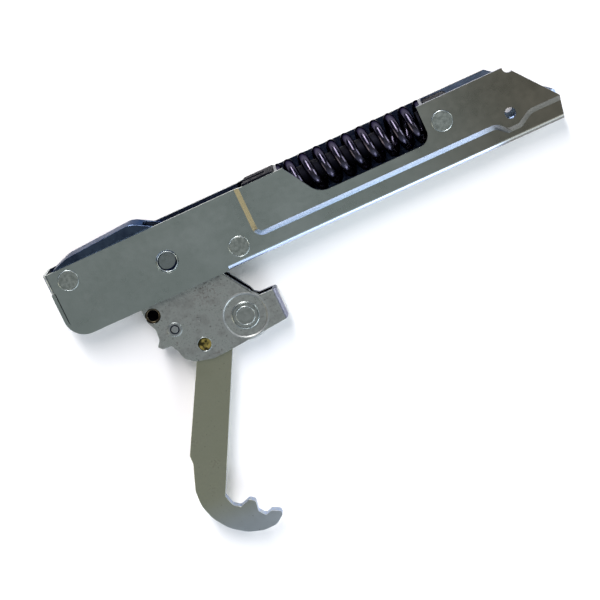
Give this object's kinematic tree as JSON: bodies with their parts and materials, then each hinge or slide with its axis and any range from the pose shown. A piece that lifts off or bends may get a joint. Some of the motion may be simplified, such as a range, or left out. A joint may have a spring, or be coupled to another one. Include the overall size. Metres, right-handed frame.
{
  "type": "oven door hinge",
  "caption": "Spring-loaded hinge for a drop-down oven door: folded steel arm, claw bracket on the main pivot, toothed hook and a coil spring behind a window.",
  "frame": {"origin": "axis of the door screw hole, at the plane of the arm's back wall, which it lies on", "axes": "+X along the door arm towards its free end, +Y across the arm away from the claw, +Z along the pivot axis, out of the front wall"},
  "size_m": [0.2245, 0.1436, 0.0222],
  "materials": {
    "arm_zinc": "bright zinc plate on rolled steel",
    "saddle_zinc": "zinc plate, dark edges",
    "bracket_zinc": "zinc plate with rub marks",
    "claw_steel": "zinc plate, olive grey",
    "pin_steel": "flush riveted end",
    "washer_steel": "plain turned steel",
    "seat_steel": "blackened steel",
    "spring_black": "glossy black coating on spring wire",
    "yellow_pin": "yellow passivated pin under a film of grease"
  },
  "bodies": {
    "door_arm": {"door_channel": "arm_zinc", "pivot_saddle": "saddle_zinc", "main_pivot_pin": "pin_steel", "pivot_washers": "washer_steel", "open_stop_pin": "pin_steel", "open_stop_sleeve": "washer_steel", "spacer_pin": "pin_steel", "spacer_tube": "washer_steel", "spring_anchor_pin": "pin_steel", "end_spring_seat": "seat_steel", "end_seat_washer": "washer_steel", "spring": "spring_black"},
    "claw_arm": {"claw_bracket": "bracket_zinc", "claw": "claw_steel", "claw_rivet": "pin_steel", "claw_locating_pin": "yellow_pin", "claw_small_rivet": "pin_steel", "link_pin": "washer_steel"},
    "spring_carriage": {"push_link": "seat_steel", "seat_pin": "washer_steel", "moving_spring_seat": "seat_steel", "moving_seat_washer": "washer_steel", "spring_guide_rod": "seat_steel"}
  },
  "joints": [
    {"name": "bracket_pivot", "type": "hinge", "parent": "door_arm", "child": "claw_arm", "pos_m": [-0.1534, 0.0026, 0.011], "axis": [0, 0, -1], "range_deg": [0, 80], "stiffness_Nm_per_rad": 2, "springref_deg": -8.59},
    {"name": "carriage_slide", "type": "slide", "parent": "door_arm", "child": "spring_carriage", "axis": [1, 0, 0], "range_m": [0, 0.01545], "deforming": ["spring"]}
  ],
  "couplings": [
    {"joint": "carriage_slide", "follows": "bracket_pivot", "m_per_rad": 0.011049}
  ]
}
